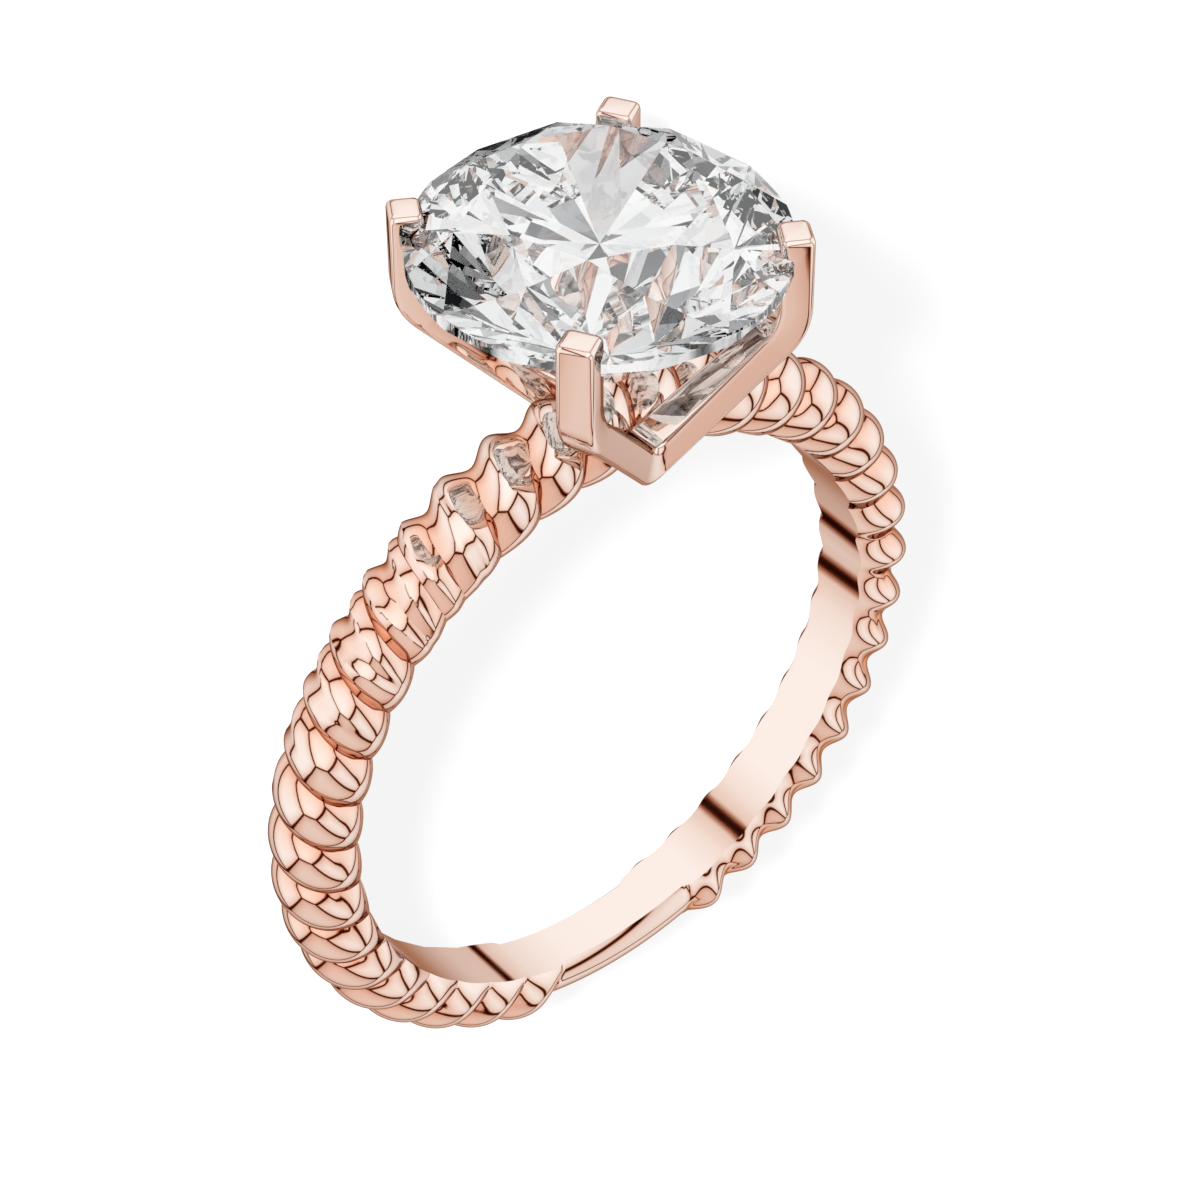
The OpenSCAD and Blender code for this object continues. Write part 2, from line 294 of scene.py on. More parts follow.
@dataclass
class TwistedShank:
    """The shank: a twisted rope of leaning lobes, and a plain bar that closes it at the bottom.

    Angles go round the ring from its top towards +X, and round the section from its outermost
    line towards +Y, in degrees. Lengths are in millimetres.
    """

    hole_r: float = HOLE_R
    top: Section = field(default_factory=lambda: Section(2.15, 2.62, 1.7))
    bottom: Section = field(default_factory=lambda: Section(1.75, 2.34, 1.7))
    bar: Section = field(default_factory=lambda: Section(1.3, 1.76, 1.32))
    bar_angle: float = 31.5
    bar_blend: float = 1.1
    lobe_count: int = 40
    twist_lean: float = 11.0
    groove_depth: float = 0.33
    edge_groove_top: float = 0.4
    edge_groove_bottom: float = 0.1
    groove_phase: float = -0.2
    left_start: float = -22.0
    left_full: float = -46.0
    right_fade: float = -30.0
    right_gone: float = -75.0
    right_reach: float = 18.0
    wave_start: float = 55.0
    wave_end: float = 95.0
    soft_turn: float = 15.0
    soft_around: float = 70.0
    soft_lean: float = 4.0
    fade_start: float = 85.0
    fade_end: float = 135.0
    edge_start: float = 60.0
    edge_end: float = 125.0
    rows_per_lobe: int = 20
    row_steps: int = 56
    band_steps: int = 10

    @property
    def lobe_pitch(self) -> float:
        """Angle from one groove to the next."""
        return 360 / self.lobe_count

    @property
    def right_slip(self) -> float:
        """Turn of the right half's grooves past those of the left half."""
        return self.lobe_pitch / 2

    @property
    def side_lobes(self) -> int:
        """Lobes between the head and the plain bar, on each side."""
        return round((360 - self.bar_angle - self.right_slip) / 2 / self.lobe_pitch)

    def left_share(self, angle: float) -> float:
        """Return how much of the left set of grooves there is, from 0 to 1."""
        if angle > 0:
            return 0.0
        return smooth_step((angle - self.left_start) / (self.left_full - self.left_start))

    def right_share(self, angle: float, around: float) -> float:
        """Return how much of the right set of grooves there is, from 0 to 1."""
        if angle > 0:
            return 1.0
        past = angle + self.right_reach * around / 90 - self.right_gone
        return smooth_step(past / (self.right_fade - self.right_gone))

    def lobe_height(self, share: float) -> float:
        """Return a lobe's height at a share of its length, from 0 in the groove to 1."""
        chord = math.radians(self.lobe_pitch) * (self.hole_r + self.top.thickness)
        radius = ((chord / 2) ** 2 + self.groove_depth ** 2) / (2 * self.groove_depth)
        drop = radius - math.sqrt(radius ** 2 - ((share - 0.5) * chord) ** 2)
        return 1 - drop / self.groove_depth

    def wave_share(self, angle: float, around: float) -> float:
        """Return how far the right set's lobes are soft waves instead of sharp scallops."""
        if angle > 0:
            return smooth_step((angle - self.wave_start) / (self.wave_end - self.wave_start))
        return smooth_step(-angle / self.soft_turn) * smooth_step(around / self.soft_around + 1)

    def wave_height(self, share: float) -> float:
        """Return the height of a softly waved lobe at a share of its length."""
        return (1 - math.cos(2 * math.pi * share)) / 2

    def bar_share(self, angle: float) -> float:
        """Return how far the shank is a plain bar at an angle, from 0 to 1."""
        right_end = self.right_slip + self.side_lobes * self.lobe_pitch
        left_end = self.side_lobes * self.lobe_pitch
        past = angle - right_end if angle > 0 else -angle - left_end
        return smooth_step(past / self.bar_blend)

    def section(self, angle: float) -> Section:
        """Return the section of the rope or the bar at an angle round the ring."""
        down = (1 - math.cos(math.radians(angle))) / 2
        share = self.bar_share(angle)
        sizes = [mix(mix(a, b, down), c, share) for a, b, c in (
            (self.top.thickness, self.bottom.thickness, self.bar.thickness),
            (self.top.width, self.bottom.width, self.bar.width),
            (self.top.band, self.bottom.band, self.bar.band))]
        return Section(*sizes)

    def groove_at(self, angle: float, around: float) -> float:
        """Return how far the surface lies under the rope's crest, before it fades at the edge."""
        left = 1 - self.lobe_height((angle / self.lobe_pitch) % 1)
        turn = angle - self.right_slip
        soft_turn = turn - (self.soft_lean * around / 360 if angle < 0 else 0)
        right = 1 - mix(self.lobe_height((turn / self.lobe_pitch) % 1),
                        self.wave_height(soft_turn / self.lobe_pitch),
                        self.wave_share(angle, around))
        low = max(self.left_share(angle) * left, self.right_share(angle, around) * right)
        return self.groove_depth * low * (1 - self.bar_share(angle))

    def sunk(self, angle: float, around: float) -> float:
        """Return how far the surface lies under the rope's crest, faded towards the inner band."""
        past = (abs(angle) - self.edge_start) / (self.edge_end - self.edge_start)
        edge = mix(self.edge_groove_top, self.edge_groove_bottom, smooth_step(past))
        past = (abs(around) - self.fade_start) / (self.fade_end - self.fade_start)
        return self.groove_at(angle, around) * mix(1, edge, clamp01(past))

    def row_end(self, angle: float, side: int) -> float:
        """Return the angle round the section at which a row meets the finger hole on one side."""
        size = self.section(angle)
        reach = size.half - self.sunk(angle, side * self.fade_end)
        return side * math.degrees(math.acos(-size.half * size.flat_cos / reach))

    def row(self, angle: float) -> list[tuple[Point, float]]:
        """Return the points of one leaning row, from the -Y edge of the band to the +Y edge.

        Args:
            angle: The row's angle round the ring, where it crosses the outermost line.

        Returns:
            For each point its place and how deep in a groove it lies, from 0 to 1.
        """
        size = self.section(angle)
        start, end = self.row_end(angle, -1), self.row_end(angle, 1)
        centre = self.hole_r + size.half * size.flat_cos
        points = []
        for step in range(self.row_steps + 1):
            around = mix(start, end, step / self.row_steps)
            sunk = self.sunk(angle, around)
            scale = 1 - sunk / size.half
            turn = math.radians(angle + self.groove_phase + self.twist_lean * around / 360)
            out = max(centre + size.half * scale * math.cos(math.radians(around)), self.hole_r)
            side = size.width / 2 * scale * math.sin(math.radians(around))
            points.append(((out * math.sin(turn), side, out * math.cos(turn)),
                           sunk / self.groove_depth))
        return points

    def band_row(self, left: Point, right: Point) -> list[Point]:
        """Return the points between two edges of the inner band, along the finger hole."""
        turns = [math.atan2(p[0], p[2]) for p in (right, left)]
        gap = (turns[1] - turns[0] + math.pi) % (2 * math.pi) - math.pi
        points = []
        for step in range(1, self.band_steps):
            share = step / self.band_steps
            turn = turns[0] + gap * share
            points.append((self.hole_r * math.sin(turn), mix(right[1], left[1], share),
                           self.hole_r * math.cos(turn)))
        return points

    def build(self, place: "RestingPlace", metal: bpy.types.Material) -> bpy.types.Object:
        """Build the whole shank as one closed mesh.

        Args:
            place: Where the ring lies.
            metal: The shank's material.

        Returns:
            The shank's object.
        """
        row_count = self.lobe_count * self.rows_per_lobe
        pitch = 360 / row_count
        rows = [self.row((i * pitch + 180) % 360 - 180) for i in range(row_count)]
        size = self.section(90)
        lean = round(self.twist_lean
                     * 2 * math.degrees(math.acos(-size.flat_cos)) / 360 / pitch)
        points: list[Point] = []
        hollow: list[float] = []
        starts = []
        for i, row in enumerate(rows):
            starts.append(len(points))
            points += [p for p, _ in row]
            hollow += [h for _, h in row]
            band = self.band_row(rows[(i + lean) % row_count][0][0], row[-1][0])
            points += band
            hollow += [0.0] * len(band)
        faces: Faces = []
        length = self.row_steps + self.band_steps
        for i in range(row_count):
            here, after = starts[i], starts[(i + 1) % row_count]
            for step in range(length - 1):
                faces.append((here + step, here + step + 1, after + step + 1, after + step))
            faces.append((here + length - 1, starts[(i + lean) % row_count],
                          starts[(i + lean + 1) % row_count], after + length - 1))
        return place.lay_piece("twisted_shank", points, faces, [metal], hollow=hollow)


@dataclass
class CornerHead:
    """Four corner prongs. Each bends in under the stone and meets its neighbour in a V foot."""

    hole_r: float = HOLE_R
    stone_r: float = STONE_R
    girdle_top: float = GIRDLE_TOP
    prong_w: float = 0.96
    prong_t: float = 0.84
    prong_wall: float = 0.38
    prong_over: float = 0.6
    tip_bevel: float = 0.18
    prong_place: float = -45.0
    prong_turn: float = 15.0
    edge_round: float = 0.16
    bend_drop: float = 2.25
    bend_side: float = 0.7
    bend_rise: float = 0.39
    start_rise: float = 0.4
    foot_h: float = 1.42
    foot_t: float = 1.2
    foot_y: float = 1.96
    foot_lean: float = 0.29
    foot_round: float = 0.5
    seat_gap: float = 0.006
    corner_steps: int = 5
    bevel_steps: int = 4
    bend_steps: int = 14
    foot_steps: int = 6

    def upright(self, z: float, tilt: float = 0.0, inset: float = 0.0) -> list[Vector]:
        """Return a station of a prong's upright part: its centre, half thickness and half width.

        Args:
            z: The station's height.
            tilt: How much lower its outer face lies than its inner face.
            inset: How far the section is drawn in on all sides.

        Returns:
            The three vectors.
        """
        place = math.radians(self.prong_place)
        facing = math.radians(self.prong_place + self.prong_turn)
        out = Vector((math.cos(facing), math.sin(facing), 0))
        across = Vector((math.sin(facing), -math.cos(facing), 0))
        radius = self.stone_r + self.prong_wall - self.prong_t / 2
        return [Vector((radius * math.cos(place), radius * math.sin(place), z)),
                out * (self.prong_t / 2 - inset) - Vector((0, 0, tilt / 2)),
                across * (self.prong_w / 2 - inset)]

    def stations(self) -> list[list[Vector]]:
        """Return the stations of one prong, from its tip to the middle of its V foot."""
        high_y = self.foot_y + self.foot_lean
        foot = [Vector((0, -(self.foot_y + high_y) / 2 + self.foot_t / 2,
                        self.hole_r + self.foot_h / 2)),
                Vector((0, (high_y - self.foot_y) / 2, -self.foot_h / 2)),
                Vector((0, -self.foot_t / 2, 0))]
        tip_z = self.girdle_top + self.prong_over
        rise = self.prong_t * self.bend_rise
        bend_z = self.girdle_top - self.bend_drop + rise / 2
        bend = self.upright(bend_z, rise)
        start = self.upright(bend_z + self.bend_side, rise * self.start_rise)
        share = self.bend_side / (foot[0] - bend[0]).length
        end = [a.lerp(b, share) for a, b in zip(bend, foot)]
        stations = []
        for step in range(self.bevel_steps + 1):
            turn = math.radians(90 * step / self.bevel_steps)
            stations.append(self.upright(tip_z - self.tip_bevel * (1 - math.cos(turn)), 0,
                                         self.tip_bevel * (1 - math.sin(turn))))
        stations += [bent(start, bend, end, step / self.bend_steps)
                     for step in range(self.bend_steps + 1)]
        share = 1 - self.foot_round / (foot[0] - end[0]).length
        before = [a.lerp(b, share) for a, b in zip(end, foot)]
        after = [Vector((-v.x, v.y, v.z)) for v in before]
        # The other half of this bend is the mirrored prong's
        stations += [bent(before, foot, after, step / self.foot_steps / 2)
                     for step in range(self.foot_steps + 1)]
        return stations

    def corners(self) -> list[tuple[float, float]]:
        """Return the section's corners, as shares of its half thickness and half width."""
        o = 1 - 2 * self.edge_round / self.prong_t
        a = 1 - 2 * self.edge_round / self.prong_w
        found = []
        for corner, (side_o, side_a) in enumerate(((1, 1), (-1, 1), (-1, -1), (1, -1))):
            for step in range(self.corner_steps + 1):
                turn = math.radians(90 * (corner + step / self.corner_steps))
                found.append((side_o * o + (1 - o) * math.cos(turn),
                              side_a * a + (1 - a) * math.sin(turn)))
        return found

    def prong(self) -> tuple[list[Point], Faces]:
        """Return the points and faces of the prong at +X, -Y."""
        corners = self.corners()
        stations = self.stations()
        count = len(corners)
        points = [tuple(s[0] + s[1] * o + s[2] * a) for s in stations for o, a in corners]
        faces: Faces = []
        for ring in range(len(stations) - 1):
            for i in range(count):
                j = (i + 1) % count
                here, after = ring * count, (ring + 1) * count
                faces.append((here + i, after + i, after + j, here + j))
        faces.append(tuple(range(count)))
        faces.append(tuple((len(stations) - 1) * count + i for i in reversed(range(count))))
        return points, faces

    def build(self, place: "RestingPlace", stone: "RoundBrilliant",
              metal: bpy.types.Material) -> bpy.types.Object:
        """Build the four prongs with their V feet, and cut the stone's seat into them.

        Args:
            place: Where the ring lies.
            stone: The stone, which gives the seat its outline.
            metal: The prongs' material.

        Returns:
            The head's object.
        """
        one, one_faces = self.prong()
        points: list[Point] = []
        faces: Faces = []
        for side_x in (1, -1):
            for side_y in (1, -1):
                start = len(points)
                points += [(x * side_x, y * side_y, z) for x, y, z in one]
                flip = side_x * side_y < 0
                faces += [tuple(start + i for i in (reversed(f) if flip else f))
                          for f in one_faces]
        head = place.lay_piece("corner_prongs", points, faces, [metal])
        cut_with(head, stone.seat(place, self.seat_gap))
        return head


def cut_with(piece: bpy.types.Object, tool: bpy.types.Object) -> None:
    """Cut a closed tool out of a piece, and remove the tool."""
    cut = piece.modifiers.new("seat", "BOOLEAN")
    cut.object = tool
    cut.operation = "DIFFERENCE"
    cut.solver = "EXACT"
    cut.use_self = True
    bpy.context.view_layer.update()
    graph = bpy.context.evaluated_depsgraph_get()
    mesh = bpy.data.meshes.new_from_object(piece.evaluated_get(graph))
    piece.modifiers.clear()
    piece.data = mesh
    shade(mesh, SHARP_ANGLE)
    bpy.data.objects.remove(tool)


@dataclass
class RoundBrilliant:
    """The stone: table, stars, kites, halves and mains, cut from a round blank plane by plane."""

    radius: float = STONE_R
    girdle_top: float = GIRDLE_TOP
    girdle_t: float = 0.4
    table_r: float = 2.675
    crown_angle: float = 34.5
    pavilion_angle: float = 40.6
    star_length: float = 0.5
    lower_length: float = 0.77
    mains: int = 8
    facet_angle: float = 2.4
    blank_sides: int = 192
    spare: float = 1.0
    cut_reach: float = 1e-6
    weld_reach: float = 1e-5
    seat_sides: int = 240

    @property
    def girdle_low(self) -> float:
        """Height of the girdle's lower edge."""
        return self.girdle_top - self.girdle_t

    @property
    def table_z(self) -> float:
        """Height of the table."""
        return self.girdle_top + (self.radius - self.table_r) * self.crown_tan

    @property
    def culet_z(self) -> float:
        """Height of the culet's point."""
        return self.girdle_low - self.radius * self.pavilion_tan

    @property
    def crown_tan(self) -> float:
        """Slope of the crown's kites."""
        return math.tan(math.radians(self.crown_angle))

    @property
    def pavilion_tan(self) -> float:
        """Slope of the pavilion's mains."""
        return math.tan(math.radians(self.pavilion_angle))

    def polar(self, r: float, turn: float, z: float) -> Vector:
        """Return a point by its radius, its turn in degrees and its height."""
        return Vector((r * math.cos(math.radians(turn)), r * math.sin(math.radians(turn)), z))

    def planes(self) -> list[tuple[Vector, Vector, Vector]]:
        """Return three points of each facet's plane."""
        step = 360 / self.mains
        half = step / 2
        cosine = math.cos(math.radians(half))
        star_r = mix(self.table_r * cosine, self.radius, self.star_length)
        star_z = self.girdle_top + (self.radius - star_r * cosine) * self.crown_tan
        low_r = self.radius * (1 - self.lower_length)
        low_z = self.girdle_low - (self.radius - low_r * cosine) * self.pavilion_tan
        top = [self.polar(self.table_r, a, self.table_z) for a in (0, step, 2 * step)]
        found = [(top[0], top[1], top[2])]
        culet = Vector((0, 0, self.culet_z))
        for i in range(self.mains):
            turn = i * step
            table = self.polar(self.table_r, turn, self.table_z)
            after = self.polar(self.table_r, turn + step, self.table_z)
            star = self.polar(star_r, turn + half, star_z)
            before = self.polar(star_r, turn - half, star_z)
            low = self.polar(low_r, turn + half, low_z)
            low_before = self.polar(low_r, turn - half, low_z)
            found += [(table, after, star), (table, star, before), (culet, low, low_before)]
            for side in (half, -half):
                corner = star if side > 0 else before
                found.append((corner, self.polar(self.radius, turn, self.girdle_top),
                              self.polar(self.radius, turn + side, self.girdle_top)))
                corner = low if side > 0 else low_before
                found.append((corner, self.polar(self.radius, turn, self.girdle_low),
                              self.polar(self.radius, turn + side, self.girdle_low)))
        return found

    def build(self, place: "RestingPlace", finish: bpy.types.Material) -> bpy.types.Object:
        """Cut the stone from its blank.

        Args:
            place: Where the ring lies.
            finish: The stone's material.

        Returns:
            The stone's object.
        """
        blank = bmesh.new()
        middle = Vector((0, 0, (self.table_z + self.culet_z) / 2))
        bmesh.ops.create_cone(blank, cap_ends=True, segments=self.blank_sides,
                              radius1=self.radius, radius2=self.radius,
                              depth=self.table_z - self.culet_z + 2 * self.spare,
                              matrix=Matrix.Translation(middle))
        inside = Vector((0, 0, self.girdle_low + self.girdle_t / 2))
        for a, b, c in self.planes():
            normal = (b - a).cross(c - a).normalized()
            if normal.dot(inside - a) > 0:
                normal = -normal
            whole = blank.verts[:] + blank.edges[:] + blank.faces[:]
            cut = bmesh.ops.bisect_plane(blank, geom=whole, dist=self.cut_reach, plane_co=a,
                                         plane_no=normal, clear_outer=True)
            rim = [e for e in cut["geom_cut"] if isinstance(e, bmesh.types.BMEdge)]
            if rim:
                bmesh.ops.contextual_create(blank, geom=rim)
        bmesh.ops.remove_doubles(blank, verts=blank.verts[:], dist=self.weld_reach)
        blank.verts.index_update()
        points = [tuple(v.co) for v in blank.verts]
        faces = [tuple(v.index for v in f.verts) for f in blank.faces]
        blank.free()
        return place.lay_piece("round_brilliant", points, faces, [finish],
                               angle=self.facet_angle)

    def seat(self, place: "RestingPlace", gap: float) -> bpy.types.Object:
        """Return a closed solid of the stone's outline turned round its axis, larger by a gap.

        Args:
            place: Where the ring lies.
            gap: The gap in millimetres.

        Returns:
            The solid's object, which is only a tool.
        """
        sides, top = self.seat_sides, self.table_z + self.spare
        rings = [(self.radius + gap, self.girdle_low - gap / 2),
                 (self.radius + gap, self.girdle_top + gap / 2),
                 (self.table_r, self.table_z + gap), (self.table_r, top)]
        points: list[Point] = [(0, 0, self.culet_z - gap), (0, 0, top)]
        for r, z in rings:
            points += [tuple(self.polar(r, 360 * i / sides, z)) for i in range(sides)]
        faces: Faces = []
        for i in range(sides):
            j = (i + 1) % sides
            faces.append((0, 2 + j, 2 + i))
            for k in range(len(rings) - 1):
                low, high = 2 + k * sides, 2 + (k + 1) * sides
                faces.append((low + i, low + j, high + j, high + i))
            last = 2 + (len(rings) - 1) * sides
            faces.append((last + i, last + j, 1))
        return place.lay_piece("stone_seat_tool", points, faces, [])


def shade(mesh: bpy.types.Mesh, angle: float) -> None:
    """Shade a mesh smooth, with sharp edges where its faces meet at more than an angle."""
    mesh.shade_smooth()
    mesh.set_sharp_from_angle(angle=math.radians(angle))


@dataclass
class RestingPlace:
    """Where the ring comes to rest on its side: on the girdle and on the two lobes by the bar."""

    shank: TwistedShank
    stone: RoundBrilliant
    steepest_lean: float = 30.0
    halvings: int = 30

    def __post_init__(self) -> None:
        """Work out the resting angles and the matrix that lays the ring down."""
        shank = self.shank
        side_lean = shank.twist_lean / 4
        last = (shank.side_lobes - 0.5) * shank.lobe_pitch
        right = shank.right_slip + last + shank.groove_phase + side_lean
        left = -last + shank.groove_phase + side_lean
        low, high = 0.0, self.steepest_lean
        for _ in range(self.halvings):
            middle = (low + high) / 2
            lobes = (self.reach(right, middle) + self.reach(left, middle)) / 2
            if self.stone_reach(middle) > lobes:
                low = middle
            else:
                high = middle
        lean = (low + high) / 2
        gap = self.reach(right, lean) - self.reach(left, lean)
        span = math.sin(math.radians(right)) - math.sin(math.radians(left))
        turn = math.asin(gap / (shank.hole_r * span * math.cos(math.radians(lean))))
        front = (self.stone.table_r * math.sin(math.radians(lean))
                 + self.stone.table_z * math.cos(math.radians(lean)))
        back = self.reach(180, 90 - lean, shank.bar)
        height = self.stone_reach(lean)
        self.matrix = (Matrix.Scale(MM, 4) @ Matrix.Rotation(math.pi, 4, "Z")
                       @ Matrix.Translation((0, (back - front) / 2, height))
                       @ Matrix.Rotation(math.radians(lean - 90), 4, "X")
                       @ Matrix.Rotation(-turn, 4, "Z"))

    def reach(self, angle: float, lean: float, size: Section | None = None) -> float:
        """Return how far the shank reaches at an angle, towards a direction that leans from +Y."""
        shank = self.shank
        down = (1 - math.cos(math.radians(angle))) / 2
        size = size or Section(mix(shank.top.thickness, shank.bottom.thickness, down),
                               mix(shank.top.width, shank.bottom.width, down), shank.top.band)
        radius = shank.hole_r + size.half * size.flat_cos
        cosine = math.cos(math.radians(angle))
        sine_lean = math.sin(math.radians(lean))
        return (-radius * cosine * sine_lean
                + math.hypot(size.half * cosine * sine_lean,
                             size.width / 2 * math.cos(math.radians(lean))))

    def stone_reach(self, lean: float) -> float:
        """Return how far the girdle's lower edge reaches towards that direction."""
        return (self.stone.radius * math.cos(math.radians(lean))
                - self.stone.girdle_low * math.sin(math.radians(lean)))

    def lay_piece(self, name: str, points: Sequence[Point], faces: Faces,
                  materials: Iterable[bpy.types.Material], angle: float = SHARP_ANGLE,
                  hollow: Sequence[float] | None = None) -> bpy.types.Object:
        """Make a piece from points of the upright ring, and lay it down.

        Args:
            name: The piece's name.
            points: Its points in millimetres.
            faces: Its faces as indices of points.
            materials: Its materials.
            angle: Faces that meet at more than this keep a sharp edge.
            hollow: How deep in a groove each point lies, from 0 to 1.

        Returns:
            The piece's object.
        """
        mesh = bpy.data.meshes.new(name)
        mesh.from_pydata([self.matrix @ Vector(p) for p in points], [], faces)
        mesh.validate()
        if hollow is not None:
            depth = mesh.attributes.new("hollow", "FLOAT", "POINT")
            depth.data.foreach_set("value", list(hollow))
        for material in materials:
            mesh.materials.append(material)
        shade(mesh, angle)
        piece = bpy.data.objects.new(name, mesh)
        bpy.context.scene.collection.objects.link(piece)
        return piece


@dataclass(frozen=True)
class Panel:
    """One soft panel of the room: where its middle stands round the ring, and how bright it is."""

    azimuth: float
    elevation: float
    light: float

    @property
    def way(self) -> Point:
        """Direction of the panel's middle."""
        return direction(self.azimuth, self.elevation)


@dataclass(frozen=True)
class SoftRoom:
    """The room round the ring: large soft panels that meet in thin dark gaps.

    The metal mirrors it warm near the gaps and where a panel is dim. The stone shows it in plain
    greys with wider gaps, so that its facets stand apart. The floor takes it as even white. The
    stone's facets are perfect mirrors and the metal isn't, so the kind of ray tells them apart.
    """

    strength: float = 1.0
    no_panel: float = -2.0
    panels: tuple[Panel, ...] = (
        Panel(70, -25, 1.1), Panel(-16, -25, 1.1), Panel(-140, -25, 1.1),
        Panel(140, 35, 0.8), Panel(30, 40, 1.2), Panel(-80, 35, 1.1), Panel(-170, 78, 1.05),
        Panel(0, -85, 1.05))
    warm: tuple[tuple[float, str], ...] = (
        (0.0, "#1A0501"), (0.024, "#44160A"), (0.044, "#B4775A"), (0.07, "#EBD7CC"),
        (0.2, "#F8F0EC"), (0.4, "#FFFFFF"))
    dim: tuple[tuple[float, str], ...] = ((0.4, "#CDA893"), (0.8, "#F4E0D6"), (1.0, "#FFFFFF"))
    plain: tuple[tuple[float, str], ...] = (
        (0.0, "#030304"), (0.07, "#303335"), (0.12, "#9A9C9E"), (0.18, "#E0E1E1"),
        (0.5, "#ECECEC"))

    def ramp(self, tree: bpy.types.NodeTree, share: bpy.types.NodeSocket,
             stops: Sequence[tuple[float, str]]) -> bpy.types.NodeSocket:
        """Return a colour that runs through stops, each at its own place."""
        made = add_node(tree, "ShaderNodeValToRGB", {"Fac": share})
        points = made.color_ramp.elements
        while len(points) < len(stops):
            points.new(0.5)
        for point, (place, code) in zip(points, stops):
            point.position = place
            point.color = hex_colour(code)
        return made.outputs["Color"]

    def nearest(self, tree: bpy.types.NodeTree
                ) -> tuple[bpy.types.NodeSocket, bpy.types.NodeSocket]:
        """Return how far a direction is from the gap round its panel, and that panel's light."""
        way = add_node(tree, "ShaderNodeTexCoord").outputs["Generated"]
        best: Any = self.no_panel
        second: Any = self.no_panel
        light: Any = 1.0
        for panel in self.panels:
            near = add_node(tree, "ShaderNodeVectorMath", {0: way, 1: panel.way},
                            operation="DOT_PRODUCT").outputs["Value"]
            nearer = math_node(tree, "GREATER_THAN", near, best)
            light = add_node(tree, "ShaderNodeMix", {"Factor": nearer, "A": light,
                                                     "B": panel.light}).outputs["Result"]
            behind = math_node(tree, "MINIMUM", near, best)
            second = math_node(tree, "MAXIMUM", second, behind)
            best = math_node(tree, "MAXIMUM", near, best)
        return math_node(tree, "SUBTRACT", best, second), light

    def build(self) -> None:
        """Build the room as the scene's world."""
        world = bpy.data.worlds.new("soft_room")
        bpy.context.scene.world = world
        world.use_nodes = True
        tree = world.node_tree
        tree.nodes.clear()
        edge, own = self.nearest(tree)
        ray = add_node(tree, "ShaderNodeLightPath").outputs
        warm = add_node(tree, "ShaderNodeMix",
                        {"Factor": 1.0, "A": self.ramp(tree, edge, self.warm),
                         "B": self.ramp(tree, own, self.dim)},
                        data_type="RGBA", blend_type="MULTIPLY").outputs["Result"]
        bright = math_node(tree, "MAXIMUM", own, 1.0)
        metal = add_node(tree, "ShaderNodeVectorMath", {0: warm, "Scale": bright},
                         operation="SCALE").outputs["Vector"]
        stone = add_node(tree, "ShaderNodeVectorMath",
                         {0: self.ramp(tree, edge, self.plain), "Scale": own},
                         operation="SCALE").outputs["Vector"]
        room = add_node(tree, "ShaderNodeMix",
                        {"Factor": ray["Is Singular Ray"], "A": metal, "B": stone},
                        data_type="RGBA")
        colour = add_node(tree, "ShaderNodeMix",
                          {"Factor": ray["Is Glossy Ray"], "A": WHITE,
                           "B": room.outputs["Result"]}, data_type="RGBA")
        light = add_node(tree, "ShaderNodeBackground",
                         {"Color": colour.outputs["Result"], "Strength": self.strength})
        add_node(tree, "ShaderNodeOutputWorld", {"Surface": light.outputs[0]})


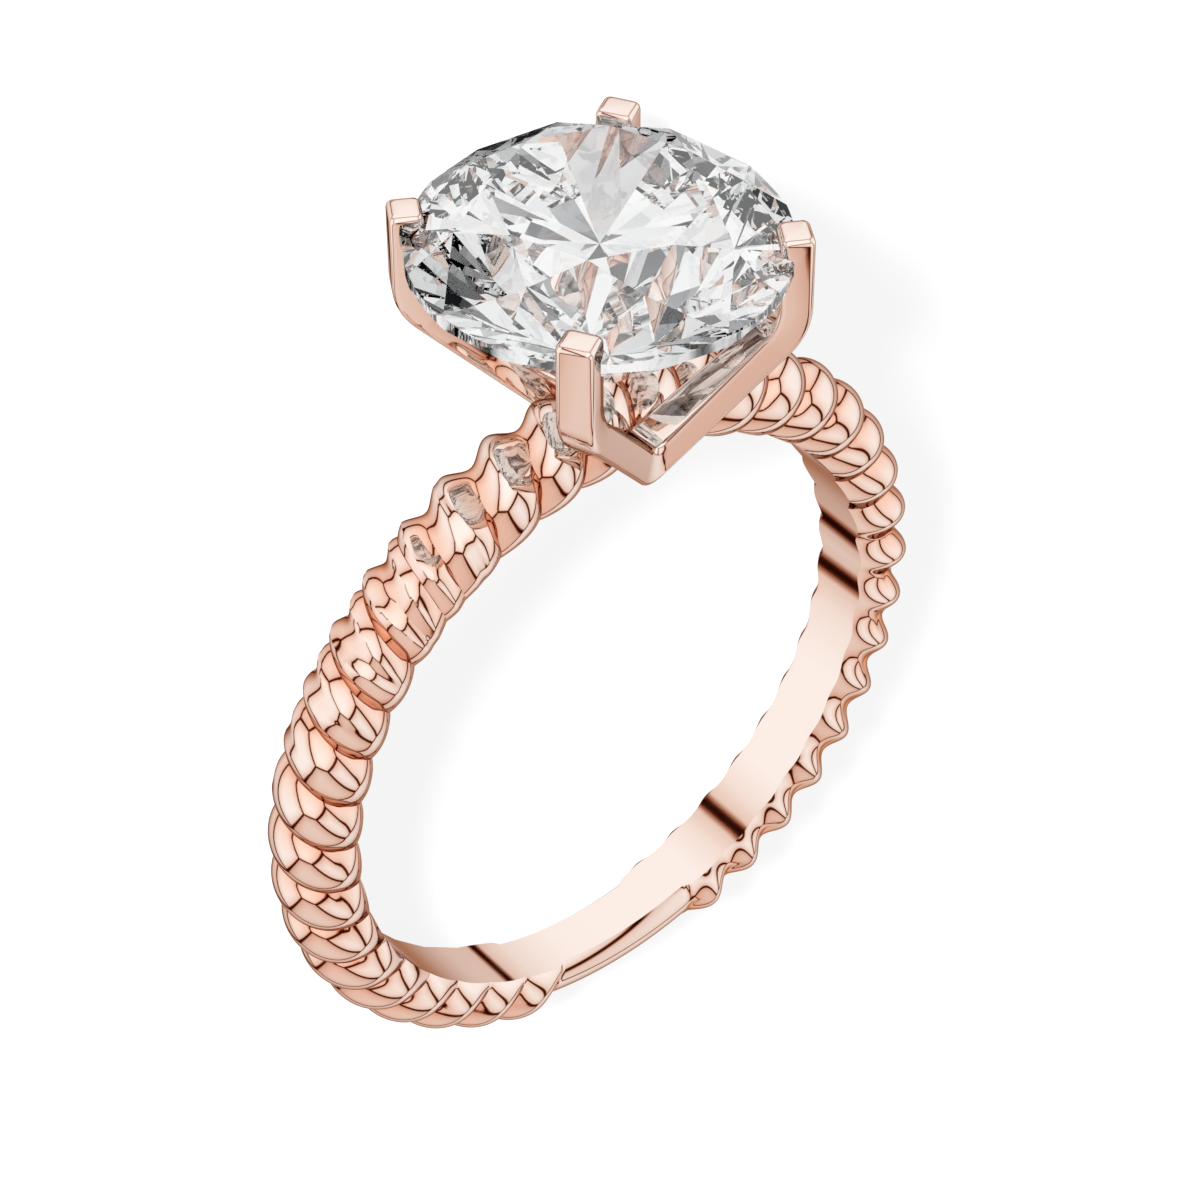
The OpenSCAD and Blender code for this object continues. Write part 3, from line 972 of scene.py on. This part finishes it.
@dataclass
class Studio:
    """White paper floor, the soft room, a key lamp for the shadow, and the photo's camera.

    The camera is given in the upright ring's frame: its turn and height round the centre of the
    finger hole, its distance, and how far that centre lies from the middle of the picture.
    """

    azimuth: float = -39.323
    elevation: float = 41.947
    roll: float = -0.05
    distance: float = 106.827
    aim_right: float = 0.003
    aim_up: float = 2.590
    focal_px: float = 4078.7
    sensor_mm: float = 36.0
    clip_near_m: float = 0.002
    clip_far_m: float = 20.0
    floor_half_m: float = 1.5
    key_size_m: float = 0.06
    key_power: float = 0.5
    key_from: Point = (0.18, -0.156, 0.12)
    bounces: int = 20
    mirror_bounces: int = 14

    def build(self, place: RestingPlace) -> None:
        """Build the floor, the lamps and the camera round the laid ring."""
        self.build_floor()
        SoftRoom().build()
        self.build_key()
        self.build_camera(place)
        self.set_light_paths()

    def set_light_paths(self) -> None:
        """Keep colours as they are, and let light cross the stone often enough to leave it."""
        scene = bpy.context.scene
        scene.view_settings.view_transform = "Standard"
        scene.cycles.max_bounces = self.bounces
        scene.cycles.glossy_bounces = self.mirror_bounces
        scene.cycles.transmission_bounces = self.bounces

    def build_floor(self) -> None:
        """Build the floor, which mirrors and stone don't show."""
        h = self.floor_half_m
        mesh = bpy.data.meshes.new("paper_floor")
        mesh.from_pydata([(-h, -h, 0), (h, -h, 0), (h, h, 0), (-h, h, 0)], [], [(0, 1, 2, 3)])
        mesh.materials.append(MattePaper().build())
        floor = bpy.data.objects.new("paper_floor", mesh)
        bpy.context.scene.collection.objects.link(floor)
        floor.visible_glossy = False
        floor.visible_transmission = False

    def build_key(self) -> None:
        """Build the key lamp, a soft square box that only the floor takes light from."""
        lamp = bpy.data.lights.new("key_softbox", "AREA")
        lamp.shape = "SQUARE"
        lamp.size = self.key_size_m
        lamp.energy = self.key_power
        holder = bpy.data.objects.new("key_softbox", lamp)
        holder.location = self.key_from
        holder.rotation_euler = (-Vector(self.key_from)).to_track_quat("-Z", "Y").to_euler()
        holder.visible_glossy = False
        holder.visible_transmission = False
        bpy.context.scene.collection.objects.link(holder)

    def build_camera(self, place: RestingPlace) -> None:
        """Build the camera at the photo's angle to the ring, and make it the scene's camera."""
        az = math.radians(self.azimuth)
        back = Vector(direction(self.azimuth, self.elevation))
        turn = Matrix.Rotation(math.radians(self.roll), 3, back)
        right = turn @ Vector((math.cos(az), math.sin(az), 0))
        up = back.cross(right)
        spot = back * self.distance + right * self.aim_right + up * self.aim_up
        axes = place.matrix.to_3x3().normalized()
        rotation = Matrix([axes @ right, axes @ up, axes @ back]).transposed()
        data = bpy.data.cameras.new("photo_camera")
        data.sensor_width = self.sensor_mm
        data.lens = self.focal_px / IMAGE_PX * self.sensor_mm
        data.clip_start = self.clip_near_m
        data.clip_end = self.clip_far_m
        camera = bpy.data.objects.new("photo_camera", data)
        camera.matrix_world = Matrix.Translation(place.matrix @ spot) @ rotation.to_4x4()
        bpy.context.scene.collection.objects.link(camera)
        bpy.context.scene.camera = camera


def seat_piece(piece: bpy.types.Object, slot: Slot, *nodes: str) -> None:
    """Make a piece ride on the ring's body and stand for CAD nodes.

    Args:
        piece: The piece.
        slot: The record's slot for the piece. It is not used.
        nodes: The CAD nodes that it stands for.
    """
    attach(piece, BODY)
    if nodes:
        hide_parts(*nodes)
    log.info("%s: %d faces", piece.name, len(piece.data.polygons))


def main() -> None:
    """Build the ring and its studio."""
    logging.basicConfig(level=logging.INFO, format="%(name)s: %(message)s")
    shank, stone, head = TwistedShank(), RoundBrilliant(), CornerHead()
    place = RestingPlace(shank, stone)
    gold = PolishedRoseGold().build()
    diamond = CutDiamond().build()
    rope = shank.build(place, gold)
    prongs = head.build(place, stone, gold)
    gem = stone.build(place, diamond)
    seat_piece(rope, Slot.ROSE_GOLD, "ring_metal")
    seat_piece(prongs, Slot.ROSE_GOLD, "ring_metal")
    seat_piece(gem, Slot.DIAMOND, "stone")
    # The rope isn't drawn through the stone, because the photo's facets show no lobes of it
    rope.visible_transmission = False
    # The floor stays plain white beside the ring: it takes no colour from it, only the shadow
    for piece in (rope, prongs, gem):
        piece.visible_diffuse = False
    Studio().build(place)


if __name__ == "__main__":
    main()
